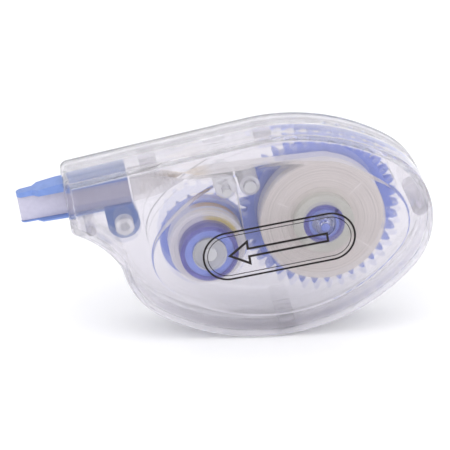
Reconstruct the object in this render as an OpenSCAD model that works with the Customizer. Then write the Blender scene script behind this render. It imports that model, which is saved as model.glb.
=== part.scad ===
// Correction tape roller, sideways type: clear two-shell casing, geared reels, blue tip head.
// The drawing plane is the casing's side face: x runs along the neck, y up the face, and z
// towards the front cover. pose() then stands the whole thing on its curved lower edge.

/* [Casing] */
// Length of the oval body
body_len = 61.8; // [61:0.2:63]
// Height of the oval body
body_high = 42; // [40:0.2:42]
// Radius of the oval's two ends
end_r = 15.5; // [15:0.25:16]
// Whole thickness over both panels
case_thick = 15; // [15:0.5:17]
// Wall round the edge
wall = 1.3; // [1:0.1:1.5]
// How far the flat oval panels stand proud of the faces
panel_proud = 0.5; // [0.3:0.1:0.7]
// Length of the oval panels
panel_len = 50.6; // [48:0.2:52]
// Height of the oval panels
panel_high = 31.4; // [30:0.2:32]
// How far the part leans back on its curved edge, in degrees
lean = 10; // [0:1:15]

/* [Neck and tip] */
// Distance from the supply axle to the mouth
mouth_reach = 48.8; // [47:0.2:50]
// Height of the neck's top edge above the supply axle, at the mouth
neck_top = 19.2; // [19:0.1:19.6]
// Radius of the hollow under the neck
neck_hollow_r = 18; // [17.5:0.5:18.5]
// Length of the tip that stands out of the mouth
tip_out = 9.2; // [8:0.2:12]

/* [Tape] */
// Width of the correction tape
tape_w = 5; // [4.2:0.2:5]
// Thickness of the tape as it is drawn
tape_t = 0.12; // [0.1:0.02:0.2]
// Outer radius of the full supply roll
roll_r = 12.4; // [9:0.2:12.6]
// Outer radius of the spent film on the take-up core
spent_r = 7.5; // [6.6:0.1:8.5]

/* [Gears] */
// Gear module: pitch diameter over tooth count
gear_module = 0.8; // [0.8:0.05:0.85]
// Teeth on the supply gear
supply_teeth = 38; // [36:2:38]
// Teeth on the take-up gear
take_up_teeth = 20; // [18:2:20]
// Room left between meshing flanks
backlash = 0.2; // [0.15:0.05:0.3]

/* [Fits] */
// Radial clearance of everything that turns on a pin
running = 0.06; // [0.03:0.01:0.1]
// Radial clearance of sleeves pushed on each other
push = 0.03; // [0.02:0.01:0.05]

/* [Hidden] */
$fn = 96;
eps = 0.01;

// Depths, along z
front_z = case_thick / 2;
face_z = front_z - panel_proud;
inner_z = face_z - 1.1;
seam_z = -0.4;                      // the seam is also the middle of the tape
tape_low = seam_z - tape_w / 2;
tape_high = seam_z + tape_w / 2;
gear_low = -inner_z + 0.5;
gear_high = tape_low - 0.7;
reel_low = gear_high + 0.3;         // rear of all that turns just in front of the supply gear
reel_high = tape_high + 1.9;

// Plan of the body and of the panels, and where the body's long arcs have their centres
body = [-9.5, -0.1];
panel = [-9, -0.3];
panel_end_r = 9;
neck_join = body[1] + body_high / 2 - 0.05;     // the neck's top edge runs in just under the oval's top
end_x = body_len / 2 - end_r;
long_y = long_arc(body_len, body_high, end_r);
long_r = body_high / 2 + long_y;

// Plan of the neck
mouth_x = -mouth_reach;
mouth_wall = 1.6;
hollow = [mouth_x - 8.3, -7.3];       // middle of the arc under the neck
corner_r = 1.6;
corner = [mouth_x + corner_r,
    hollow[1] + sqrt(pow(neck_hollow_r + corner_r, 2) - pow(mouth_x + corner_r - hollow[0], 2))];

// Axles, posts and pegs, in plan
supply = [0, 0];
take_up = [-23.18, -1];
tip_pivot = [-38.4, 6.1];
post_1 = [-17.8, 11.2];             // turns the spent film down to the take-up reel
post_2 = [-13.2, 11.5];             // carries the guide roller
end_boss = [18.9, 0.4];
neck_peg = [-45, 8.7];

// Radii
pivot_r = 0.9;
supply_boss_r = 1.75;
supply_hub_r = 3;
clutch_r = 4.05;
core_r = 6;
take_up_post_r = 1.4;
take_up_hub_r = 4.85;
take_up_core_r = 5.75;
flange_r = 9;
post_r = 2.1;
post_bore_r = 0.9;
roller_r = 2;
roller_pin_r = 1.2;
tip_boss_r = 1.85;
dowel_r = 0.8;

// Tip head
tip_end_x = mouth_x - tip_out;
tip_back_x = -36.2;
tape_y = 13.5;                      // middle of the tape where it lies on the blade
blade_half = 1;
blade_end_r = 0.45;
flange_y = tape_w / 2 + 0.05;       // from the tape's middle to each flange
bend_x = tip_end_x + blade_end_r + tape_t;
tip_split_x = tip_back_x + 0.4;     // where the tape's runs end, just behind the tip head
tip_split = 0.35;                   // room for the tip to rock without reaching the runs
wedge = [3.2, 4.9, 8.1];            // from the tip's end: where its flanges thicken in front, and then upwards
lug_low = -3.4;
lug_high = -1;
lug_r = 3.2;
lug_top = tape_y - flange_y - 0.3;
post_end = 3.7;                     // end of the rear cover's post that turns the spent film

// Twist between the posts and the blade
twist_x = -20;
film_gap = tape_t / 2 + 0.03;
twist_apart = 0.35;

// Ends of the standing part, for its origin under the middle of its box
right_x = (body[0] + end_x) * cos(lean) - body[1] * sin(lean) + end_r;
left_x = tip_end_x * cos(lean) - (tape_y + flange_y + 0.95) * sin(lean);
low_z = body[0] * sin(lean) + (body[1] + long_y) * cos(lean) - long_r;

// ---------------------------------------------------------------- placing and plain shapes

module pose() {
    translate([-(left_x + right_x) / 2, 0, -low_z])
        rotate([0, -lean, 0])
            rotate([90, 0, 0])
                children();
}

// Extrudes a plan shape between two depths
module slab(low, high) {
    translate([0, 0, low])
        linear_extrude(high - low)
            children();
}

module rod(place, radius, low, high) {
    slab(low, high)
        translate(place)
            circle(radius);
}

module tube(place, outer, inner, low, high) {
    slab(low, high)
        translate(place)
            difference() {
                circle(outer);
                circle(inner);
            }
}

// ---------------------------------------------------------------- casing

// How far the long arcs' centres are from the middle of an oval made of four arcs
function long_arc(len, high, r) =
    let (across = len / 2 - r, flat = high / 2 - r)
    (across * across - flat * flat) / (2 * flat);

module oval(middle, len, high, r) {
    across = len / 2 - r;
    up = long_arc(len, high, r);
    join_x = across * (1 + r / norm([across, up]));
    translate(middle) {
        // the ends are a touch larger, so that they cross the long arcs and don't only touch them
        for (side = [-1, 1])
            translate([side * across, 0])
                circle(r + 0.02, $fn = 128);
        intersection() {
            translate([0, up])
                circle(high / 2 + up, $fn = 256);
            translate([0, -up])
                circle(high / 2 + up, $fn = 256);
            square([2 * join_x, high + 2], center = true);
        }
    }
}

module body_oval(inset) {
    oval(body, body_len - 2 * inset, body_high - 2 * inset, end_r - inset);
}

module panel_oval() {
    oval(panel, panel_len, panel_high, panel_end_r);
}

// What a round corner of radius r takes off, in the quarter that sx and sy point to
module corner_nick(place, r, sx, sy, reach) {
    translate(place)
        difference() {
            translate([min(0, sx * reach[0]), min(0, sy * reach[1])])
                square(reach);
            circle(r);
        }
}

module neck_outline() {
    difference() {
        polygon([[mouth_x, 0], [body[0], 0], [body[0], neck_join], [mouth_x, neck_top]]);
        translate(hollow)
            circle(neck_hollow_r, $fn = 160);
        corner_nick([mouth_x + corner_r, neck_top - corner_r], corner_r, -1, 1,
            [corner_r + eps, corner_r + eps]);
        corner_nick(corner, corner_r, -1, -1,
            [corner_r + eps, corner_r]);
    }
}

module case_outline() {
    body_oval(0);
    neck_outline();
}

module case_cavity() {
    body_oval(wall);
    difference() {
        polygon([[mouth_x + mouth_wall, 0], [body[0], 0], [body[0], neck_join - wall],
            [mouth_x + mouth_wall, neck_top - wall]]);
        translate(hollow)
            circle(neck_hollow_r + wall, $fn = 160);
    }
}

// The slot in the mouth that the tip head comes out of
module mouth_slot() {
    translate([mouth_x - 1, tape_y - flange_y - 1.2, seam_z - 3.4])
        cube([mouth_wall + 2, 2 * flange_y + 3.25, 6.8]);
}

// Places of the snap tabs: middle in x, and the y of the wall's inner face there
top_tabs = [-31.7, -8.9];
bottom_tab_x = -10.3;
tab_w = 3.4;
tab_t = 0.9;
barb = 0.5;
barb_z = 1.6;

// Inner face of the neck's top wall at the far end of a tab, where it is lowest
function top_inside(x) =
    neck_top - wall + (neck_join - neck_top) * (x - tab_w / 2 - mouth_x) / (body[0] - mouth_x);

module snap_tab(x, wall_y, side, grow) {
    low = (grow > 0) ? barb_z - grow : -inner_z - eps;
    translate([x - tab_w / 2, 0, 0]) {
        if (grow == 0)
            translate([0, wall_y - (side > 0 ? tab_t + 0.05 : -0.05), low])
                cube([tab_w, tab_t, barb_z + 1 - low]);
        translate([-grow, wall_y - (side > 0 ? 0.1 : barb - 0.1), barb_z - grow])
            cube([tab_w + 2 * grow, barb + (grow > 0 ? 0.15 : 0), 0.9 + 2 * grow]);
    }
}

module snap_tabs(grow) {
    for (x = top_tabs)
        snap_tab(x, top_inside(x), 1, grow);
    snap_tab(bottom_tab_x, body[1] - body_high / 2 + wall, -1, grow);
}

module front_cover() {
    color([0.9, 0.91, 0.95, 0.4])
        pose()
            difference() {
                union() {
                    difference() {
                        union() {
                            slab(seam_z, face_z) case_outline();
                            slab(face_z - eps, front_z) panel_oval();
                        }
                        slab(seam_z - 1, inner_z) case_cavity();
                        mouth_slot();
                        snap_tabs(0.1);
                    }
                    rod(supply, supply_boss_r, inner_z - 1, inner_z + eps);
                    rod(take_up, 3.1, inner_z - 0.8, inner_z + eps);
                    rod(post_1, post_bore_r - push, post_end - 1.8, inner_z + eps);
                    rod(post_2, roller_pin_r, tape_low - 0.1, inner_z + eps);
                    rod(end_boss, 1.6, seam_z, inner_z + eps);
                    rod(neck_peg, 1, seam_z, inner_z + eps);
                }
                rod(supply, pivot_r + running, inner_z - 2, inner_z + 0.2);
                rod(take_up, take_up_post_r + running, inner_z - 2, inner_z + 0.2);
                rod(end_boss, dowel_r + push, tape_low - 1, inner_z - 2);
            }
}

module rear_cover() {
    color([0.88, 0.89, 0.94, 0.4])
        pose()
            difference() {
                union() {
                    difference() {
                        union() {
                            slab(-face_z, seam_z) case_outline();
                            slab(-front_z, -face_z + eps) panel_oval();
                        }
                        slab(-inner_z, seam_z + 1) case_cavity();
                        mouth_slot();
                    }
                    snap_tabs(0);
                    rod(supply, 2, -inner_z - eps, gear_low - 0.1);
                    rod(take_up, 2.2, -inner_z - eps, gear_low - 0.1);
                    rod(take_up, take_up_post_r, -inner_z - eps, inner_z + 0.1);
                    rod(tip_pivot, 2.4, -inner_z - eps, lug_low - 0.1);
                    rod(tip_pivot, tip_boss_r, -inner_z - eps, lug_high + 2);
                    rod(post_1, post_r, -inner_z - eps, post_end);
                    rod(end_boss, 1.6, -inner_z - eps, seam_z);
                    rod(neck_peg, 1, -inner_z - eps, seam_z);
                    rod(end_boss, dowel_r, -inner_z - eps, inner_z - 2.2);
                }
                rod(supply, pivot_r + running, -inner_z - 0.8, 0);
                rod(tip_pivot, post_bore_r, lug_high - 2, lug_high + 3);
                rod(post_1, post_bore_r, post_end - 2, post_end + 1);
            }
}

// ---------------------------------------------------------------- tip head

// Side flanges in side view: a thin plate at the end, then a wedge that is thickest at the mouth
module flange_side() {
    low = tape_y - flange_y;
    high = tape_y + flange_y;
    polygon([[tip_end_x, low - 0.18], [tip_end_x + wedge[0], low - 0.22], [mouth_x - 0.5, low - 0.42],
        [tip_back_x, low - 0.35], [tip_back_x, high + 0.8], [mouth_x + 1.4, high + 0.8],
        [mouth_x + 0.4, high + 1.7], [tip_end_x + wedge[2], high + 1.7],
        [tip_end_x + wedge[0], high + 1.15], [tip_end_x, high + 0.95]]);
}

// Flanges and blade in the view along y
module flange_plan() {
    plate = 1.15;
    deep = 3;
    intersection() {
        translate([tip_end_x + plate, 0])
            union() {
                circle(plate);
                translate([0, -2 * plate]) square([30, 4 * plate]);
            }
        polygon([[tip_end_x - 1, plate - 0.05], [tip_end_x + wedge[0], plate], [tip_end_x + wedge[1], deep],
            [tip_back_x, deep], [tip_back_x, -deep], [tip_end_x + wedge[1], -deep],
            [tip_end_x + wedge[0], -plate], [tip_end_x - 1, -plate + 0.05]]);
    }
}

module blade_plan() {
    end = tip_end_x + blade_end_r + 0.2;
    polygon([[end, blade_end_r], [mouth_x + 3, blade_half], [tip_back_x, blade_half],
        [tip_back_x, -blade_half], [mouth_x + 3, -blade_half], [end, -blade_end_r]]);
    translate([end, 0])
        circle(blade_end_r);
}

// Extrudes a shape drawn in x and z along y
module along_y(low, high) {
    translate([0, high, seam_z])
        rotate([90, 0, 0])
            linear_extrude(high - low)
                children();
}

module tip_head() {
    color([0.36, 0.5, 0.86])
        pose()
            difference() {
                union() {
                    along_y(tape_y - flange_y - 0.1, tape_y + flange_y + 0.1) blade_plan();
                    intersection() {
                        slab(-5, 5) flange_side();
                        union() {
                            along_y(tape_y + flange_y, tape_y + 6) flange_plan();
                            along_y(tape_y - 6, tape_y - flange_y) flange_plan();
                        }
                    }
                    slab(lug_low, lug_high) {
                        translate(tip_pivot) circle(lug_r);
                        polygon([[-41.85, lug_top], [tip_back_x, lug_top], [-35.22, 6.5], [-41.5, 5.4]]);
                    }
                }
                rod(tip_pivot, tip_boss_r + running, -5, 5);
            }
}

// ---------------------------------------------------------------- gears

function involute_of(angle) = tan(angle) * 180 / PI - angle;

// Half of a tooth's width, in degrees, at radius r
function half_tooth(r, teeth) =
    let (pitch = teeth * gear_module / 2, base = pitch * cos(20))
    90 / teeth - backlash / 4 / pitch * 180 / PI + involute_of(20)
        - (r > base ? involute_of(acos(base / r)) : 0);

function on_circle(r, angle) = r * [cos(angle), sin(angle)];

// One rounded tooth, counter-clockwise from root to root
function tooth(teeth, middle) =
    let (
        pitch = teeth * gear_module / 2,
        root = pitch - 1.12 * gear_module,
        heights = [root, pitch - 0.35 * gear_module, pitch + 0.3 * gear_module],
        tip = pitch + 0.95 * gear_module,
        tip_half = half_tooth(tip, teeth)
    )
    concat(
        [for (r = heights) on_circle(r, middle - half_tooth(r, teeth))],
        [on_circle(tip - 0.12, middle - tip_half * 0.95), on_circle(tip, middle - tip_half * 0.45),
            on_circle(tip, middle + tip_half * 0.45), on_circle(tip - 0.12, middle + tip_half * 0.95)],
        [for (i = [2:-1:0]) on_circle(heights[i], middle + half_tooth(heights[i], teeth))]
    );

module gear_plan(teeth, first) {
    polygon([for (i = [0:teeth - 1]) each tooth(teeth, first + i * 360 / teeth)]);
}

// The supply gear has a tooth, and the take-up gear a gap, on the line between the two axles
mesh_angle = atan2(take_up[1] - supply[1], take_up[0] - supply[0]);

module supply_gear() {
    color([0.34, 0.42, 0.8])
        pose() {
            difference() {
                union() {
                    slab(gear_low, gear_high) gear_plan(supply_teeth, mesh_angle);
                    rod(supply, supply_hub_r, gear_high - eps, reel_high);
                }
                tube(supply, 2.4, 1.2, 1.5, reel_high + 1);
            }
            rod(supply, pivot_r, reel_high - eps, inner_z);
            rod(supply, pivot_r, -inner_z - 0.7, gear_low + eps);
        }
}

module clutch_ring() {
    slit = 0.5;
    color([0.27, 0.33, 0.72])
        pose()
            difference() {
                tube(supply, clutch_r, supply_hub_r + running, reel_low, reel_high);
                rotate(38)
                    translate([0, -slit / 2, reel_low - 1])
                        cube([clutch_r + 1, slit, reel_high - reel_low + 2]);
            }
}

module supply_core() {
    color([0.82, 0.88, 0.8, 0.6])
        pose() {
            tube(supply, core_r, clutch_r + push, reel_low, reel_high);
            tube(supply, core_r + 1, core_r - eps, reel_low, tape_low - 0.1);
        }
}

module tape_roll() {
    color([0.85, 0.83, 0.82])
        pose()
            tube(supply, roll_r, core_r + push, tape_low, tape_high);
}

module take_up_gear() {
    color([0.36, 0.44, 0.82])
        pose()
            translate(take_up)
                difference() {
                    union() {
                        slab(gear_low, reel_low)
                            gear_plan(take_up_teeth, mesh_angle + 180 / take_up_teeth);
                        rod([0, 0], flange_r, reel_low - eps, reel_low + 0.3);
                        tube([0, 0], take_up_hub_r, 3.4, reel_low, inner_z - 0.7);
                        rod([0, 0], 2.3, reel_low, reel_low + 2);
                    }
                    rod([0, 0], take_up_post_r + running, gear_low - 1, reel_high);
                }
}

module take_up_core() {
    color([0.22, 0.26, 0.62])
        pose()
            tube(take_up, take_up_core_r, take_up_hub_r + push, reel_low + 0.35, inner_z - 0.5);
}

module spent_film_roll() {
    color([0.74, 0.73, 0.76, 0.8])
        pose()
            tube(take_up, spent_r, take_up_core_r + push, tape_low, tape_high);
}

module guide_roller() {
    color([0.86, 0.87, 0.92, 0.6])
        pose()
            tube(post_2, roller_r, roller_pin_r + running, tape_low, tape_high + 3.2);
}

// ---------------------------------------------------------------- tape

// A ribbon is a list of stations: [middle, direction across the width, direction across the thickness]
module ribbon(stations) {
    count = len(stations);
    points = [for (s = stations, c = [[-1, -1], [1, -1], [1, 1], [-1, 1]])
        s[0] + s[1] * c[0] * tape_w / 2 + s[2] * c[1] * tape_t / 2];
    sides = [for (i = [0:count - 2], j = [0:3])
        let (k = (j + 1) % 4)
        [4 * i + j, 4 * i + k, 4 * i + 4 + k, 4 * i + 4 + j]];
    // both wide faces are split along the same diagonal, so that a twist keeps its thickness
    split = [for (n = [0:len(sides) - 1])
        let (f = sides[n])
        each (n % 4 < 2 ? [[f[0], f[1], f[2]], [f[0], f[2], f[3]]]
            : [[f[0], f[1], f[3]], [f[1], f[2], f[3]]])];
    last = 4 * count - 4;
    ends = [[0, 2, 1], [0, 3, 2], [last, last + 1, last + 2], [last, last + 2, last + 3]];
    polyhedron([for (p = points) p], [for (f = concat(split, ends)) [f[2], f[1], f[0]]]);
}

// Station on an arc about a reel or a post, with the width along z
function wrap_at(place, r, angle) =
    [[place[0] + r * cos(angle), place[1] + r * sin(angle), seam_z], [0, 0, 1], [cos(angle), sin(angle), 0]];

function wrap(place, r, from, to, steps) =
    [for (i = [0:steps]) wrap_at(place, r, from + (to - from) * i / steps)];

// Angle of the outer tangent's normal from circle a to circle b, on the side given by sign
function tangent_normal(a, ra, b, rb, sign) =
    atan2(b[1] - a[1], b[0] - a[0]) + sign * acos((ra - rb) / norm(b - a));

// Station part of the way from the posts (0) to the blade (1); side is 1 in front, -1 behind
function twist_at(t, side, high_y) =
    let (
        turn = 90 * (1 - t * t * (3 - 2 * t)),
        apart = twist_apart + (blade_half + film_gap - twist_apart) * t,
        across = [0, cos(turn), sin(turn)],
        out = [0, -sin(turn), cos(turn)],
        middle = [twist_x + (tip_split_x - twist_x) * t, high_y + (tape_y - high_y) * t, seam_z]
    )
    [middle + side * apart * out, across, -out];

twist_y = post_1[1] + post_r + film_gap + twist_apart;

function twist(side) = [for (i = [0:20]) twist_at(i / 20, side, twist_y)];

module fresh_tape_run() {
    over = roller_r + film_gap;
    leave = tangent_normal(supply, roll_r + film_gap, post_2, over, -1);
    start = [twist_x, twist_y + twist_apart];
    reach = start - post_2;
    lift = atan2(reach[1], reach[0]) - acos(over / norm(reach));
    color([0.93, 0.93, 0.92])
        pose()
            ribbon(concat(
                wrap(supply, roll_r + film_gap, leave - 12, leave, 4),
                wrap(post_2, over, leave, lift, 5),
                twist(-1)
            ));
}

module spent_film_run() {
    over = post_r + film_gap;
    down = tangent_normal(post_1, over, take_up, spent_r + film_gap, 1);
    color([0.78, 0.78, 0.82, 0.7])
        pose()
            ribbon(concat(
                wrap(take_up, spent_r + film_gap, down - 12, down, 4),
                wrap(post_1, over, down, 90, 8),
                twist(1)
            ));
}

// Tape that lies on the tip head: in along the back, round the end and out along the front
module tip_tape() {
    end = tip_end_x + blade_end_r + 0.2;
    slope_x = mouth_x + 3;
    across = [0, 1, 0];
    bend = blade_end_r + film_gap;
    back = blade_half + film_gap;
    taper = atan2(back - bend, slope_x - end);
    color([0.9, 0.9, 0.93])
        pose()
            ribbon(concat(
                [for (x = [tip_split_x - tip_split, slope_x])
                    [[x, tape_y, seam_z - back], across, [0, 0, -1]]],
                [for (a = [-90 - taper:-(180 - 2 * taper) / 12:-270 + taper + 0.01])
                    [[end + bend * cos(a), tape_y, seam_z + bend * sin(a)], across, [cos(a), 0, sin(a)]]],
                [for (x = [slope_x, tip_split_x - tip_split])
                    [[x, tape_y, seam_z + back], across, [0, 0, 1]]]
            ));
}

front_cover();
rear_cover();
tip_head();
supply_gear();
clutch_ring();
supply_core();
tape_roll();
take_up_gear();
take_up_core();
spent_film_roll();
guide_roller();
fresh_tape_run();
spent_film_run();
tip_tape();
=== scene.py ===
"""Looks of a correction tape roller: clear covers, geared reels, tape and a blue tip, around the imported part.

Shapes are drawn in the face plane of the casing, in millimetres: x runs along the neck, y up the face and z
towards the front cover, from the supply axle. TO_ROW turns that into the row frame, in metres.
"""

import math

import bmesh
import bpy
import numpy as np
from mathutils import Matrix, Vector
from mathutils.geometry import delaunay_2d_cdt


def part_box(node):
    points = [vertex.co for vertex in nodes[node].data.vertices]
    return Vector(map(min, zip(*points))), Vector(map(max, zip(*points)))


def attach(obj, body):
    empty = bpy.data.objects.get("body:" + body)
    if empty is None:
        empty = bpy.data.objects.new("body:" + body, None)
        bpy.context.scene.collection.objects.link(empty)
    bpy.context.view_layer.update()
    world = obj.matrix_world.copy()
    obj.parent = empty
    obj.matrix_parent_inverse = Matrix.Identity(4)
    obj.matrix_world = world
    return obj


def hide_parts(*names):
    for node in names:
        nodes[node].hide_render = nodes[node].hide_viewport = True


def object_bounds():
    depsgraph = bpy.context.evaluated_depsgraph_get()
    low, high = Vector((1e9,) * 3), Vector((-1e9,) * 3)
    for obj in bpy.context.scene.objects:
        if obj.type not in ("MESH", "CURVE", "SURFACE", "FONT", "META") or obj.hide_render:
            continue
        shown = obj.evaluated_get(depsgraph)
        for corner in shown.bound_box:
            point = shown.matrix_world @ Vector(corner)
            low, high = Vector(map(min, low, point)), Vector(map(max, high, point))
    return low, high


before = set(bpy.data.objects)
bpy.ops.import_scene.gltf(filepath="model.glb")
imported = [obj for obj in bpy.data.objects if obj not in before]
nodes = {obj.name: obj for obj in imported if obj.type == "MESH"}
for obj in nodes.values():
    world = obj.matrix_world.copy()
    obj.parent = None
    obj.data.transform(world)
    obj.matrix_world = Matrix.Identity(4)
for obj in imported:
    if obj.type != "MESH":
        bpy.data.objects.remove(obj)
cad_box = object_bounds()

MM = 0.001
LEAN = math.radians(10)
low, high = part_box("tape_roll")
AXLE = (low + high) / 2
TO_ROW = Matrix((
    (math.cos(LEAN) * MM, -math.sin(LEAN) * MM, 0, AXLE.x),
    (0, 0, -MM, 0),
    (math.sin(LEAN) * MM, math.cos(LEAN) * MM, 0, AXLE.z),
    (0, 0, 0, 1)))

# Depths along z, as in the CAD
FRONT_Z, FACE_Z, INNER_Z, SEAM_Z = 7.5, 7.0, 5.9, -0.4
TAPE_LOW = SEAM_Z - 2.5
GEAR_LOW = -INNER_Z + 0.5
LUG_LOW, LUG_HIGH, POST_END = -3.4, -1.0, 3.7
INK_LOW, INK_HIGH = FRONT_Z + 0.003, FRONT_Z + 0.02

# Places in the face plane
SUPPLY, TAKE_UP = (0.0, 0.0), (-23.18, -1.0)
TIP_PIVOT, POST_1, POST_2 = (-38.4, 6.1), (-17.8, 11.2), (-13.2, 11.5)
END_BOSS, NECK_PEG = (18.9, 0.4), (-45.0, 8.7)
MOUTH_X, NECK_TOP, TAPE_Y = -48.8, 19.2, 13.5
SLOT_LOW, SLOT_HIGH = TAPE_Y - 3.75, TAPE_Y + 4.87
MARK = (-9.6, -1.6)

# Ovals of the casing and of its proud panel: middle, length, height and radius of the ends
BODY_OVAL = (-9.5, -0.1), 61.8, 42, 15.5
PANEL_OVAL = (-9.0, -0.3), 50.6, 31.4, 9.0
CORNER_R = 1.6
HOLLOW, HOLLOW_R = (MOUTH_X - 8.3, -7.3), 18.0
FILLET_R = 8.0

# Half shells, with heights from the seam
WALL, SLOT_H, SEAM_GAP = 1.3, 3.4, 0.02


# ---------------------------------------------------------------- mesh helpers

class Build:
    """Collects vertices and faces in face-plane millimetres, then makes one object of them."""

    def __init__(self):
        self.verts, self.faces = [], []

    def add(self, points):
        start = len(self.verts)
        self.verts += [tuple(p) for p in points]
        return list(range(start, len(self.verts)))

    def join(self, a, b, closed=True):
        """Quads between two rows of the same length."""
        n = len(a)
        for i in range(n if closed else n - 1):
            k = (i + 1) % n
            self.faces.append((a[i], a[k], b[k], b[i]))

    def fan(self, ring, centre):
        c = self.add([centre])[0]
        for i in range(len(ring)):
            self.faces.append((ring[i], ring[(i + 1) % len(ring)], c))

    def fill(self, outer, holes=()):
        """Flat triangles between an outer ring and the rings inside it."""
        rings = [outer, *holes]
        index = [i for ring in rings for i in ring]
        flat = [Vector(self.verts[i][:2]) for i in index]
        edges, start = [], 0
        for ring in rings:
            n = len(ring)
            edges += [(start + i, start + (i + 1) % n) for i in range(n)]
            start += n
        corners, _, tris, origin, _, _ = delaunay_2d_cdt(flat, edges, [], 0, 1e-7)
        shapes = [np.array([self.verts[i][:2] for i in ring]) for ring in rings]
        near = {}
        for k, v in enumerate(corners):
            if origin[k]:
                near[k] = index[origin[k][0]]
            else:
                near[k] = min(index, key=lambda i: (self.verts[i][0] - v.x) ** 2
                              + (self.verts[i][1] - v.y) ** 2)
        for t in tris:
            pts = [near[v] for v in t]
            if len(set(pts)) < 3:
                continue
            mid = np.mean([self.verts[i][:2] for i in pts], axis=0)
            if inside(mid, shapes[0]) and not any(inside(mid, s) for s in shapes[1:]):
                self.faces.append(tuple(pts))

    def make(self, name, body, material, replaces=(), sharp=40, tidy=0.0, inlay=None):
        """tidy is the distance within which vertices are joined, and inlay a second material and the range of
        faces that take it."""
        mesh = bpy.data.meshes.new(name)
        mesh.from_pydata([TO_ROW @ Vector(v) for v in self.verts], [], self.faces)
        mesh.materials.append(material)
        if inlay:
            mesh.materials.append(inlay[0])
            for face in mesh.polygons[inlay[1]:inlay[2]]:
                face.material_index = 1
        obj = bpy.data.objects.new(name, mesh)
        bpy.context.scene.collection.objects.link(obj)
        finish_mesh(mesh, sharp, tidy)
        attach(obj, body)
        if replaces:
            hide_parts(*replaces)
        return obj


def inside(p, ring):
    """Whether p is inside a closed ring of points, by crossings."""
    a, b = ring, np.roll(ring, -1, axis=0)
    cross = (a[:, 1] > p[1]) != (b[:, 1] > p[1])
    a, b = a[cross], b[cross]
    at = a[:, 0] + (p[1] - a[:, 1]) / (b[:, 1] - a[:, 1]) * (b[:, 0] - a[:, 0])
    return (at > p[0]).sum() % 2 == 1


def finish_mesh(mesh, sharp, tidy):
    bm = bmesh.new()
    bm.from_mesh(mesh)
    if tidy:
        bmesh.ops.remove_doubles(bm, verts=bm.verts, dist=tidy * MM)
        bmesh.ops.dissolve_degenerate(bm, edges=bm.edges, dist=tidy * MM)
    bmesh.ops.recalc_face_normals(bm, faces=bm.faces)
    bm.to_mesh(mesh)
    bm.free()
    mesh.shade_smooth()
    mesh.set_sharp_from_angle(angle=math.radians(sharp))
    mesh.update()


def arc(centre, r, a0, a1, step=0.55, most=6.0, inward=False):
    """Points with outward normals on an arc, in degrees; inward is for an arc that curves into the body."""
    n = max(2, math.ceil(abs(math.radians(a1 - a0)) * r / step), math.ceil(abs(a1 - a0) / most))
    out = []
    for i in range(n + 1):
        a = math.radians(a0 + (a1 - a0) * i / n)
        c, s = math.cos(a), math.sin(a)
        k = -1 if inward else 1
        out.append((centre[0] + r * c, centre[1] + r * s, k * c, k * s))
    return out


def line(p, q, n, count, crown=0.02):
    """A side of an outline with normal n, in count steps, very slightly crowned."""
    out = []
    for t in (i / count for i in range(count + 1)):
        rise = crown * 4 * t * (1 - t)
        x = p[0] + (q[0] - p[0]) * t + n[0] * rise
        y = p[1] + (q[1] - p[1]) * t + n[1] * rise
        out.append((x, y, n[0], n[1]))
    return out


def chain(parts):
    """Joins pieces of an outline, leaving out points that repeat."""
    out = []
    for p in (p for part in parts for p in part):
        if not out or math.hypot(p[0] - out[-1][0], p[1] - out[-1][1]) > 1e-4:
            out.append(p)
    if math.hypot(out[0][0] - out[-1][0], out[0][1] - out[-1][1]) < 1e-4:
        out.pop()
    return out


def angle_to(a, b):
    return math.degrees(math.atan2(b[1] - a[1], b[0] - a[0]))


def oval_arcs(middle, length, height, r):
    """Centres of an oval's top, bottom, east and west arcs, the radius of the long ones, and the angle where
    the arcs meet."""
    across, flat = length / 2 - r, height / 2 - r
    up = (across ** 2 - flat ** 2) / (2 * flat)
    top, bottom = (middle[0], middle[1] - up), (middle[0], middle[1] + up)
    east, west = (middle[0] + across, middle[1]), (middle[0] - across, middle[1])
    return top, bottom, east, west, height / 2 + up, math.degrees(math.atan2(up, across))


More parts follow.
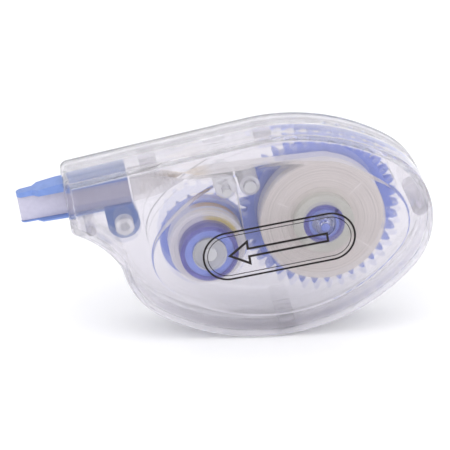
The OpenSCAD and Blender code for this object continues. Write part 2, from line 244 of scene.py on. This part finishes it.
def case_outline():
    """The casing from the east end round: its top, the neck, the mouth, the hollow under it and the bottom."""
    top, bottom, east, west, long_r, meet = oval_arcs(*BODY_OVAL)
    r = BODY_OVAL[-1]
    peak = (MOUTH_X, NECK_TOP)
    far = math.hypot(peak[0] - top[0], peak[1] - top[1])
    leave = angle_to(top, peak) - math.degrees(math.acos(long_r / far))
    n = (math.cos(math.radians(leave)), math.sin(math.radians(leave)))
    edge = n[0] * top[0] + n[1] * top[1] + long_r
    # middles of the mouth's two corners, and the upper one's angle at the slot's edge
    corner_x = MOUTH_X + CORNER_R
    upper = (corner_x, (edge - CORNER_R - n[0] * corner_x) / n[1])
    lower = (corner_x, HOLLOW[1] + math.sqrt((HOLLOW_R + CORNER_R) ** 2 - (corner_x - HOLLOW[0]) ** 2))
    slot_at = 180 - math.degrees(math.asin((SLOT_HIGH - upper[1]) / CORNER_R))
    # middle of the small fillet where the hollow meets the oval
    a, b = HOLLOW_R - FILLET_R, r + FILLET_R
    gap = math.hypot(west[0] - HOLLOW[0], west[1] - HOLLOW[1])
    u = ((west[0] - HOLLOW[0]) / gap, (west[1] - HOLLOW[1]) / gap)
    along = (a * a - b * b + gap * gap) / (2 * gap)
    side = math.sqrt(a * a - along * along)
    f = (HOLLOW[0] + along * u[0] - side * u[1], HOLLOW[1] + along * u[1] + side * u[0])
    return chain([
        arc(east, r, -meet, meet),
        arc(top, long_r, meet, leave),
        line((top[0] + long_r * n[0], top[1] + long_r * n[1]),
             (upper[0] + CORNER_R * n[0], upper[1] + CORNER_R * n[1]), n, 24),
        arc(upper, CORNER_R, leave, slot_at),
        arc(upper, CORNER_R, slot_at, 180),
        line((MOUTH_X, upper[1]), (MOUTH_X, SLOT_LOW), (-1, 0), 14, 0),
        line((MOUTH_X, SLOT_LOW), (MOUTH_X, lower[1]), (-1, 0), 1, 0),
        arc(lower, CORNER_R, 180, angle_to(lower, HOLLOW) % 360),
        arc(HOLLOW, HOLLOW_R, angle_to(HOLLOW, lower), angle_to(HOLLOW, f), inward=True),
        arc(f, FILLET_R, angle_to(HOLLOW, f), angle_to(f, west), inward=True),
        arc(west, r, angle_to(west, f) % 360, 180 + meet),
        arc(bottom, long_r, 180 + meet, 360 - meet),
    ])


def panel_outline():
    top, bottom, east, west, long_r, meet = oval_arcs(*PANEL_OVAL)
    r = PANEL_OVAL[-1]
    return chain([arc(east, r, -meet, meet), arc(top, long_r, meet, 180 - meet),
                  arc(west, r, 180 - meet, 180 + meet), arc(bottom, long_r, 180 + meet, 360 - meet)])


def ring_at(outline, inset, z):
    return [(x - nx * inset, y - ny * inset, z) for x, y, nx, ny in outline]


def fillet_profile(inset, h, r, steps):
    """Rounded edge from the wall at inset, ending on the face at height h, as (inset, height)."""
    return [(inset + r * (1 - math.cos(t)), h - r * (1 - math.sin(t)))
            for t in (math.pi / 2 * i / steps for i in range(steps + 1))]


# ---------------------------------------------------------------- covers

def cover(name, side, posts, tabs, material):
    """A half shell: side is 1 for the front cover and -1 for the rear one. Heights are from the seam."""
    b = Build()
    body_line, panel_line = case_outline(), panel_outline()
    face_h, inner_h, panel_h = (z - side * SEAM_Z for z in (FACE_Z, INNER_Z, FRONT_Z))

    # columns of the wall: in the slot the seam's rim stands further back
    cols, in_slot = [], []
    previous = None
    for p in body_line:
        inside_slot = p[0] < MOUTH_X + 1.2 and SLOT_LOW + 1e-6 < p[1] < SLOT_HIGH + 1e-6
        if previous is not None and inside_slot != previous:
            cols.append(p)
            in_slot.append(previous)
        cols.append(p)
        in_slot.append(inside_slot)
        previous = inside_slot

    def z_of(h):
        return SEAM_Z + side * h

    def ring(inset, h):
        return b.add([(x - nx * inset, y - ny * inset, z_of(max(h, SLOT_H) if cut else h))
                      for (x, y, nx, ny), cut in zip(cols, in_slot)])

    outer_profile = [(0.1, SEAM_GAP), (0.0, SEAM_GAP + 0.1), (0.0, SLOT_H), (0.0, SLOT_H + 0.05),
                     (0.03, face_h - 1.05)] + fillet_profile(0.03, face_h, 1.0, 7) + [(1.1, face_h)]
    inner_profile = [(WALL - 0.06, SEAM_GAP), (WALL, SEAM_GAP + 0.06), (WALL, SLOT_H), (WALL, SLOT_H + 0.05),
                     (WALL, inner_h - 0.25), (WALL + 0.06, inner_h - 0.08), (WALL + 0.2, inner_h),
                     (WALL + 0.25, inner_h)]
    outer = [ring(i, h) for i, h in outer_profile]
    inner = [ring(i, h) for i, h in inner_profile]
    for rows in (outer, inner):
        for a, c in zip(rows, rows[1:]):
            b.join(a, c)
    b.join(outer[0], inner[0])

    # face, step and proud panel
    step = [(-0.5, face_h), (-0.42, face_h), (-0.3, face_h + 0.03), (-0.02, face_h + 0.42),
            (0.08, panel_h - 0.02), (0.2, panel_h), (0.28, panel_h)]
    rows = [b.add(ring_at(panel_line, i, z_of(h))) for i, h in step]
    for a, c in zip(rows, rows[1:]):
        b.join(a, c)
    b.fill(unique(b, outer[-1]), [rows[0]])
    b.fill(rows[-1])

    # inner face with its bosses and posts. The capped ones are closed solids that sink into the face, where a
    # ring in it would be too near the wall. The supply boss is listed first, and the end boss and the peg
    # last; the posts between them are frosted, from the face numbered first up to last.
    bases = []
    first = last = len(b.faces)
    for place, profile in posts:
        r = profile[0][0]
        capped = place in (END_BOSS, NECK_PEG) or (side > 0 and place in (POST_1, POST_2))
        foot = [(r, (INNER_Z + 0.4) * side)] if capped else [
            (r + 0.3, INNER_Z * side), (r + 0.22, INNER_Z * side), (r + 0.06, (INNER_Z - 0.07) * side)]
        rings = []
        for r, z in foot + profile:
            if r == 0:
                b.fan(rings[-1], (place[0], place[1], z))
                break
            rings.append(b.add([(place[0] + r * math.cos(t), place[1] + r * math.sin(t), z)
                                for t in (math.tau * k / 40 for k in range(40))]))
            if len(rings) > 1:
                b.join(rings[-2], rings[-1])
        if capped:
            b.fan(rings[0], (place[0], place[1], foot[0][1]))
        else:
            bases.append(rings[0])
        if place == SUPPLY:
            first = len(b.faces)
        if place != END_BOSS and place != NECK_PEG:
            last = len(b.faces)
    b.fill(unique(b, inner[-1]), bases)
    for tab in tabs:
        snap_tab(b, *tab)
    return b.make(name, "casing", material, (name.replace("shell", "cover"),), 50, 1e-4,
                  (FROSTED, first, last))


def unique(b, ring):
    """The ring without the repeated columns at the slot's sides."""
    out = []
    for i in ring:
        if not out or math.dist(b.verts[i], b.verts[out[-1]]) > 1e-6:
            out.append(i)
    return out


def post(side, steps, bore=None):
    """Profile of a boss or post from the inner face: steps of (radius, end), then a bore in the last end."""
    soft = 0.1 * side
    out = [(steps[0][0], (INNER_Z - 0.22) * side)]
    previous = None
    for r, end in steps:
        if previous is not None:
            out += [(r + 0.08, previous), (r, previous - soft)]
        out += [(r, end + soft), (r - 0.03, end + 0.3 * soft), (r - 0.1, end)]
        previous = end
    if bore:
        r, bottom = bore
        out += [(r + 0.1, end), (r + 0.03, end + 0.3 * soft), (r, end + soft), (r, bottom - soft),
                (r - 0.08, bottom), (0, bottom)]
    else:
        out += [(r * 0.5, end), (0, end)]
    return out


def prism(b, outline, low, high, soft):
    """A solid between two depths over a closed outline of (x, y), with softened ends."""
    x, y = np.mean(outline, axis=0)
    rows = []
    for inset, z in [(soft, low), (soft * 0.3, low + soft * 0.3), (0, low + soft), (0, high - soft),
                     (soft * 0.3, high - soft * 0.3), (soft, high)]:
        rows.append(b.add([(px - math.copysign(min(inset, abs(px - x)), px - x),
                            py - math.copysign(min(inset, abs(py - y)), py - y), z) for px, py in outline]))
    for a, c in zip(rows, rows[1:]):
        b.join(a, c)
    for row, z in ((rows[0], low), (rows[-1], high)):
        b.fan(row, (x, y, z))


def snap_tab(b, x, wall_y, side):
    """One of the rear cover's snap tabs: a tongue beside the wall, with a barb for the front cover."""
    tongue = (wall_y - 0.95 * side, wall_y - 0.05 * side)
    box = [(x - 1.7, min(tongue)), (x + 1.7, min(tongue)), (x + 1.7, max(tongue)), (x - 1.7, max(tongue))]
    prism(b, rounded(box, 0.15), -INNER_Z + 0.01, 2.6, 0.12)
    barb = [(px, py + 0.42 * side) for px, py in box]
    prism(b, rounded(barb, 0.15), 1.62, 2.48, 0.1)


def stadium(middle, half_length, half_height):
    """A closed line with round ends."""
    flat = half_length - half_height
    return [(middle[0] + math.copysign(flat, math.cos(t)) + half_height * math.cos(t),
             middle[1] + half_height * math.sin(t))
            for t in (math.tau * (k + 0.5) / 72 for k in range(72))]


def arrow(left, neck, right, half, head):
    """An arrow in the printed mark that points to the tip: the x of its point, of the back of its head and of
    its end, and half the height of its shaft and of its head."""
    return [(MARK[0] + x, MARK[1] + y) for x, y in (
        (left, 0), (neck, head), (neck, half), (right, half), (right, -half), (neck, -half), (neck, -head))]


def slab(b, outline, hole, low, high):
    """A thin flat layer between a closed outline and the hole in it."""
    levels = []
    for z in (low, high):
        rings = [b.add([(x, y, z) for x, y in ring]) for ring in (outline, hole)]
        b.fill(rings[0], rings[1:])
        levels.append(rings)
    for a, c in zip(*levels):
        b.join(a, c)


def rounded(points, r, steps=3):
    """A closed profile with its corners rounded."""
    out = []
    n = len(points)
    for i in range(n):
        p, q, s = (np.array(points[k % n], float) for k in (i - 1, i, i + 1))
        u, v = (p - q) / np.linalg.norm(p - q), (s - q) / np.linalg.norm(s - q)
        reach = min(r, 0.45 * np.linalg.norm(p - q), 0.45 * np.linalg.norm(s - q))
        a, c = q + u * reach, q + v * reach
        for k in range(steps + 1):
            t = k / steps
            out.append(tuple((1 - t) ** 2 * a + 2 * t * (1 - t) * q + t * t * c))
    return out


# ---------------------------------------------------------------- materials

def material(name):
    m = bpy.data.materials.new(name)
    m.use_nodes = True
    nt = m.node_tree
    nt.nodes.clear()
    out = nt.nodes.new("ShaderNodeOutputMaterial")
    bsdf = nt.nodes.new("ShaderNodeBsdfPrincipled")
    nt.links.new(bsdf.outputs[0], out.inputs[0])
    return m, nt, bsdf


def node(nt, kind, inputs=None, **attrs):
    n = nt.nodes.new("ShaderNode" + kind)
    for k, v in attrs.items():
        setattr(n, k, v)
    for k, v in (inputs or {}).items():
        if isinstance(v, bpy.types.NodeSocket):
            nt.links.new(v, n.inputs[k])
        else:
            n.inputs[k].default_value = v
    return n


def face_mm(nt, place=(0, 0)):
    """Coordinates in face-plane millimetres about a place, for vertices in the row frame."""
    back = TO_ROW.inverted()
    turn = Matrix([[back[i][j] * MM for j in range(3)] for i in range(3)])
    shift = back.translation - Vector((place[0], place[1], 0))
    coords = node(nt, "TexCoord")
    return node(nt, "Mapping", {"Vector": coords.outputs["Object"], "Location": shift,
                                "Rotation": turn.to_euler(), "Scale": (1 / MM,) * 3}).outputs[0]


def noise(nt, where, scale, detail=3.0, rough=0.5, stretch=None, distortion=0.0):
    if stretch:
        where = node(nt, "Mapping", {"Vector": where, "Scale": stretch}).outputs[0]
    return node(nt, "TexNoise", {"Vector": where, "Scale": scale, "Detail": detail, "Roughness": rough,
                                 "Distortion": distortion}).outputs["Fac"]


def ramp(nt, fac, stops):
    n = node(nt, "ValToRGB", {"Fac": fac})
    while len(n.color_ramp.elements) < len(stops):
        n.color_ramp.elements.new(0.5)
    for e, (at, colour) in zip(n.color_ramp.elements, stops):
        e.position = at
        e.color = (*colour, 1)
    return n.outputs["Color"]


def span(nt, fac, low, high, from_low=0.3, from_high=0.7):
    return node(nt, "MapRange", {"Value": fac, "From Min": from_low, "From Max": from_high, "To Min": low,
                                 "To Max": high}).outputs[0]


def bump(nt, height, strength, distance):
    return node(nt, "Bump", {"Height": height, "Strength": strength, "Distance": distance * MM}).outputs[0]


def clear_plastic(name, tint, rough, solid, milk, wave=0.02):
    """Clear moulded plastic with flow marks and fine specks. solid is the share of light that it bends, milk
    the share of that which it scatters, and wave the depth of the flow marks."""
    m, nt, s = material(name)
    where = face_mm(nt)
    flow = noise(nt, where, 0.12, 2, 0.4, (1, 1.6, 1), 0.6)
    specks = noise(nt, where, 9, 4, 0.6)
    nt.links.new(ramp(nt, flow, [(0.3, tint), (0.7, tuple(c * 0.985 for c in tint))]), s.inputs["Base Color"])
    nt.links.new(span(nt, specks, *rough), s.inputs["Roughness"])
    s.inputs["Transmission Weight"].default_value = 1 - milk
    s.inputs["Alpha"].default_value = solid
    s.inputs["IOR"].default_value = 1.4
    nt.links.new(bump(nt, flow, 0.35, wave), s.inputs["Normal"])
    return m


def distance(nt, where):
    """The coordinates one by one, and the distance in the face plane from their middle."""
    flat = node(nt, "SeparateXYZ", {"Vector": where})
    plane = node(nt, "CombineXYZ", {"X": flat.outputs[0], "Y": flat.outputs[1]}).outputs[0]
    return flat, node(nt, "VectorMath", {0: plane}, operation="LENGTH").outputs["Value"]


def blue_plastic(name, dark, light, place=(0, 0), bore=None):
    """Moulded blue plastic; bore is two radii about the place and a paler colour between them: painted light in
    the hub.
    """
    m, nt, s = material(name)
    where = face_mm(nt, place)
    cloud = noise(nt, where, 0.5, 3, 0.5, None, 0.4)
    grain = noise(nt, where, 14, 4, 0.6)
    colour = ramp(nt, cloud, [(0.3, dark), (0.7, light)])
    # Painted light: the hub's hollow between the two radii is painted pale, standing for a lit bore and a
    # highlight ring.
    if bore:
        _, radius = distance(nt, where)
        between = node(nt, "Math", {0: span(nt, radius, 0, 1, bore[0] - 0.05, bore[0] + 0.05),
                                    1: span(nt, radius, 1, 0, bore[1] - 0.05, bore[1] + 0.05)},
                       operation="MULTIPLY")
        colour = mix(nt, between.outputs[0], colour, (*bore[2], 1))
    nt.links.new(colour, s.inputs["Base Color"])
    nt.links.new(span(nt, grain, 0.28, 0.42), s.inputs["Roughness"])
    s.inputs["IOR"].default_value = 1.48
    nt.links.new(bump(nt, grain, 0.25, 0.02), s.inputs["Normal"])
    return m


def mix(nt, fac, a, b):
    return node(nt, "Mix", {"Factor": fac, "A": a, "B": b}, data_type="RGBA").outputs[2]


def wound_layers(name, place, face, edge, layer_scale, tints_and_highlights=(), rim_tint=None, rough=0.5):
    """Tape wound on a core: fine rings on its flat faces and another colour on its rim. tints_and_highlights
    are further colours of the faces, and on the tape roll thin painted highlight streaks, each with the radius
    in millimetres that it is strongest at, how far it reaches, the direction it lies in and how far round it
    goes.
    rim_tint is one of the rim, with its highest depth and its direction."""
    m, nt, s = material(name)
    where = face_mm(nt, place)
    flat, radius = distance(nt, where)

    def towards(angle, reach=0.25):
        """1 in a direction from the middle, falling to 0 further round."""
        aim = node(nt, "CombineXYZ", {"X": math.cos(math.radians(angle)), "Y": math.sin(math.radians(angle))})
        dot = node(nt, "VectorMath", {0: where, 1: aim.outputs[0]}, operation="DOT_PRODUCT").outputs["Value"]
        share = node(nt, "Math", {0: dot, 1: radius}, operation="DIVIDE").outputs[0]
        return span(nt, share, 0, 1, 1 - reach, 1 - reach * 0.4)

    layers = node(nt, "TexNoise", {"W": radius, "Scale": layer_scale, "Detail": 6, "Roughness": 0.65},
                  noise_dimensions="1D").outputs["Fac"]
    colour = ramp(nt, layers, [(0.35, tuple(c * 0.8 for c in face)), (0.55, face)])
    # Each patch is mixed in over its ring and direction; the narrow ones on the roll are painted highlight
    # streaks.
    for tint, at, reach, angle, round_reach in tints_and_highlights:
        off = node(nt, "Math", {0: node(nt, "Math", {0: radius, 1: at}, operation="SUBTRACT").outputs[0]},
                   operation="ABSOLUTE").outputs[0]
        patch = node(nt, "Math", {0: span(nt, off, 1, 0, reach * 0.5, reach), 1: towards(angle, round_reach)},
                     operation="MULTIPLY")
        colour = mix(nt, patch.outputs[0], colour, (*tint, 1))
    side = node(nt, "SeparateXYZ", {"Vector": node(nt, "TexCoord").outputs["Normal"]}).outputs[1]
    flatness = span(nt, node(nt, "Math", {0: side}, operation="ABSOLUTE").outputs[0], 0, 1, 0.4, 0.8)
    rim = ramp(nt, noise(nt, where, 1.5, 3), [(0.3, tuple(c * 0.95 for c in edge)), (0.7, edge)])
    if rim_tint:
        tint, high, angle = rim_tint
        patch = node(nt, "Math", {0: span(nt, flat.outputs[2], 1, 0, high - 0.3, high), 1: towards(angle)},
                     operation="MULTIPLY")
        rim = mix(nt, patch.outputs[0], rim, (*tint, 1))
    nt.links.new(mix(nt, flatness, rim, colour), s.inputs["Base Color"])
    s.inputs["Roughness"].default_value = rough
    nt.links.new(bump(nt, layers, 0.4, 0.03), s.inputs["Normal"])
    return m


def strip(name, dark, light, rough, scale=1.0, solid=1.0, shine=0.5, stain=None):
    """Tape, film or ink. stain is a place, how far it reaches and its colour."""
    m, nt, s = material(name)
    cloud = noise(nt, face_mm(nt), scale, 4, 0.55)
    colour = ramp(nt, cloud, [(0.3, dark), (0.7, light)])
    if stain:
        place, reach, tint = stain
        _, away = distance(nt, face_mm(nt, place))
        colour = mix(nt, span(nt, away, 1, 0, reach * 0.4, reach), colour, (*tint, 1))
    nt.links.new(colour, s.inputs["Base Color"])
    s.inputs["Roughness"].default_value = rough
    s.inputs["Alpha"].default_value = solid
    s.inputs["Specular IOR Level"].default_value = shine
    nt.links.new(bump(nt, cloud, 0.3, 0.01), s.inputs["Normal"])
    return m


# Tint, range of roughness, share of light that is bent, milkiness and depth of the flow marks
SHELL_LOOK = (0.84, 0.825, 0.86), (0.0, 0.012), 0.8, 0.015, 0.01
CLEAR = clear_plastic("clear_shell_front", *SHELL_LOOK)
CLEAR_REAR = clear_plastic("clear_shell_rear", *SHELL_LOOK)
FROSTED = clear_plastic("clear_posts", (0.97, 0.97, 0.99), (0.1, 0.2), 0.83, 0.65)
CLEAR_CORE = clear_plastic("clear_core", (0.94, 0.94, 0.84), (0.1, 0.2), 0.95, 0.75)
CLEAR_ROLLER = clear_plastic("clear_roller", (0.97, 0.97, 0.99), (0.03, 0.08), 0.8, 0.5)
# The blue of both reels has its hub hollow painted pale: painted light, not the plastic's own colour.
GEAR_BLUE_PAINTED_HUB_LIGHT = blue_plastic("gear_blue", (0.24, 0.31, 0.77), (0.29, 0.37, 0.86),
                         bore=(1.02, 2.38, (0.85, 0.87, 0.98)))
TAKE_UP_BLUE_PAINTED_BORE_LIGHT = blue_plastic("take_up_blue_painted_bore_light", (0.24, 0.31, 0.77), (0.3, 0.38, 0.86), place=TAKE_UP,
                            bore=(-1, 3.2, (0.88, 0.9, 0.97)))
HUB_BLUE = blue_plastic("hub_blue", (0.11, 0.105, 0.4), (0.16, 0.155, 0.5))
TIP_BLUE = blue_plastic("tip_blue", (0.135, 0.22, 0.5), (0.17, 0.26, 0.57))
# The three thin light radial streaks on the roll's faces are painted highlights; the rings and the rim are the
# tape's own colour.
ROLL_WITH_PAINTED_HIGHLIGHTS = wound_layers("tape_layers_painted_highlights", (0, 0), (0.79, 0.735, 0.69), (0.98, 0.955, 0.92), 3.2,
                    [((0.89, 0.85, 0.81), at, reach, angle, 1.5e-4) for at, reach, angle in (
                        (8.6, 1.6, 147), (9.0, 2.8, 36), (9.6, 2.2, -42))])
SPENT = wound_layers("film_layers", TAKE_UP, (0.88, 0.86, 0.86), (0.93, 0.91, 0.9), 4.0,
                     [((0.8, 0.66, 0.2), 6.2, 0.6, 52, 0.25)], ((0.75, 0.47, 0.15), -0.9, 66), 0.35)
WHITE_TAPE = strip("white_tape", (0.9, 0.88, 0.86), (0.94, 0.92, 0.9), 0.55,
                   stain=((-25, 13.6), 5.5, (0.93, 0.83, 0.68)))
FILM = strip("used_film", (0.93, 0.9, 0.89), (0.97, 0.95, 0.94), 0.3, solid=0.45)
# Painted shade: the tape round the tip takes a darker lilac grey copy of the film's pale colour, with the blue
# of the tip behind it painted in.
TIP_FILM_PAINTED_SHADE = strip("tip_film_painted_shade", (0.46, 0.445, 0.56), (0.52, 0.505, 0.62), 0.3, solid=0.88)
INK = strip("printed_ink", (0.012, 0.01, 0.01), (0.025, 0.02, 0.02), 0.5, 3, shine=0.15)

# ---------------------------------------------------------------- pieces

# Bosses and posts of each cover: place and profile
front_posts = [
    (SUPPLY, post(1, [(1.75, INNER_Z - 1)], (0.96, INNER_Z + 0.2))),
    (TAKE_UP, post(1, [(3.1, INNER_Z - 0.8)], (1.46, INNER_Z + 0.2))),
    (POST_1, post(1, [(0.87, 1.9)])),
    (POST_2, post(1, [(1.2, TAPE_LOW - 0.1)])),
    (END_BOSS, post(1, [(1.6, SEAM_Z + 0.02)], (0.83, INNER_Z - 2))),
    (NECK_PEG, post(1, [(1.0, SEAM_Z + 0.02)])),
]
rear_posts = [
    (SUPPLY, post(-1, [(2.0, GEAR_LOW - 0.1)], (0.96, -INNER_Z - 0.8))),
    (TAKE_UP, post(-1, [(2.2, GEAR_LOW - 0.1), (1.4, INNER_Z + 0.1)])),
    (TIP_PIVOT, post(-1, [(2.4, LUG_LOW - 0.1), (1.85, LUG_HIGH + 2)], (0.9, LUG_HIGH - 2))),
    (POST_1, post(-1, [(2.1, POST_END)], (0.9, POST_END - 2))),
    (END_BOSS, post(-1, [(1.6, SEAM_Z - 0.02), (0.8, INNER_Z - 2.2)])),
    (NECK_PEG, post(-1, [(1.0, SEAM_Z - 0.02)])),
]
# Tabs inside the top wall, and one at the bottom: middle in x, the wall's inner face, and the side it is on
rear_tabs = [(-31.7, 18.48, 1), (-8.9, 19.42, 1), (-10.3, -19.8, -1)]
cover("front_shell", 1, front_posts, [], CLEAR)
cover("rear_shell", -1, rear_posts, rear_tabs, CLEAR_REAR)


# The printed mark on the front panel: two lines round an open arrow
b = Build()
for half_length, half_height, line_w in ((15.2, 5.1, 0.4), (14.3, 4.2, 0.16)):
    slab(b, stadium(MARK, half_length, half_height),
         stadium(MARK, half_length - line_w, half_height - line_w), INK_LOW, INK_HIGH)
slab(b, arrow(-10.3, -5.9, 9.8, 1.05, 2.75), arrow(-9.35, -6.37, 9.33, 0.58, 1.87), INK_LOW, INK_HIGH)
b.make("printed_mark", "casing", INK)

# Material and softened edge, in millimetres, of each node that keeps the CAD's shape
looks = {
    "tip_head": (TIP_BLUE, 0.15), "supply_gear": (GEAR_BLUE_PAINTED_HUB_LIGHT, 0.08), "clutch_ring": (HUB_BLUE, 0.08),
    "supply_core": (CLEAR_CORE, 0), "tape_roll": (ROLL_WITH_PAINTED_HIGHLIGHTS, 0.08), "take_up_gear": (TAKE_UP_BLUE_PAINTED_BORE_LIGHT, 0.08),
    "take_up_core": (HUB_BLUE, 0.08), "spent_film_roll": (SPENT, 0.08), "guide_roller": (CLEAR_ROLLER, 0.08),
    "fresh_tape_run": (WHITE_TAPE, 0), "spent_film_run": (FILM, 0), "tip_tape": (TIP_FILM_PAINTED_SHADE, 0),
}
for name, (look, edge) in looks.items():
    obj = nodes[name]
    obj.data.materials.clear()
    obj.data.materials.append(look)
    if edge:
        mod = obj.modifiers.new("edges", "BEVEL")
        mod.width, mod.segments, mod.limit_method = edge * MM, 2, "ANGLE"
        mod.angle_limit = math.radians(40)

# ---------------------------------------------------------------- floor, light and camera

scene = bpy.context.scene
scene.view_settings.view_transform = "Standard"

m, nt, s = material("floor")
where = node(nt, "TexCoord").outputs["Object"]
cloud = noise(nt, where, 3, 2)
nt.links.new(ramp(nt, cloud, [(0.3, (0.93, 0.93, 0.93)), (0.7, (0.95, 0.95, 0.95))]), s.inputs["Base Color"])
s.inputs["Roughness"].default_value = 0.6
mesh = bpy.data.meshes.new("floor")
mesh.from_pydata([(-3, -3, 0), (3, -3, 0), (3, 3, 0), (-3, 3, 0)], [], [(0, 1, 2, 3)])
mesh.materials.append(m)
floor = bpy.data.objects.new("floor", mesh)
floor.location.z = cad_box[0].z - 0.02 * MM
scene.collection.objects.link(floor)

world = bpy.data.worlds.new("studio")
world.use_nodes = True
world.node_tree.nodes["Background"].inputs["Color"].default_value = (0.97, 0.97, 1.0, 1)
world.node_tree.nodes["Background"].inputs["Strength"].default_value = 1.0
scene.world = world


def softbox(name, at, target, width, height, power):
    light = bpy.data.lights.new(name, "AREA")
    light.shape, light.size, light.size_y, light.energy = "RECTANGLE", width, height, power
    lamp = bpy.data.objects.new(name, light)
    lamp.location = at
    lamp.rotation_euler = (Vector(target) - Vector(at)).to_track_quat("-Z", "Y").to_euler()
    scene.collection.objects.link(lamp)


softbox("overhead", (0, -0.45, 0.8), (0, 0, 0), 1.4, 1.1, 4)
softbox("left", (-0.8, -0.5, 0.4), (0, 0, 0.02), 0.5, 0.7, 1.5)
softbox("front", (0.1, -0.9, 0.12), (0, 0, 0.02), 1.0, 0.2, 1.5)

# The camera looks down on the face from the left, along the photograph's own direction
aim = Vector((AXLE.x - 18.88 * MM, 1.36 * MM, AXLE.z - 2.07 * MM))
away = 0.6
right = Vector((0.994, -0.112, 0.0135)).normalized()
back = Vector((-0.109, -0.916, 0.386)).normalized()
right = (right - back * right.dot(back)).normalized()
up = back.cross(right)
camera = bpy.data.objects.new("camera", bpy.data.cameras.new("camera"))
camera.data.sensor_width = 36
camera.data.lens = 243.4
camera.data.clip_start = 0.01
turn = Matrix((right, up, back)).transposed().to_4x4()
camera.matrix_world = Matrix.Translation(aim + back * away) @ turn
scene.collection.objects.link(camera)
scene.camera = camera
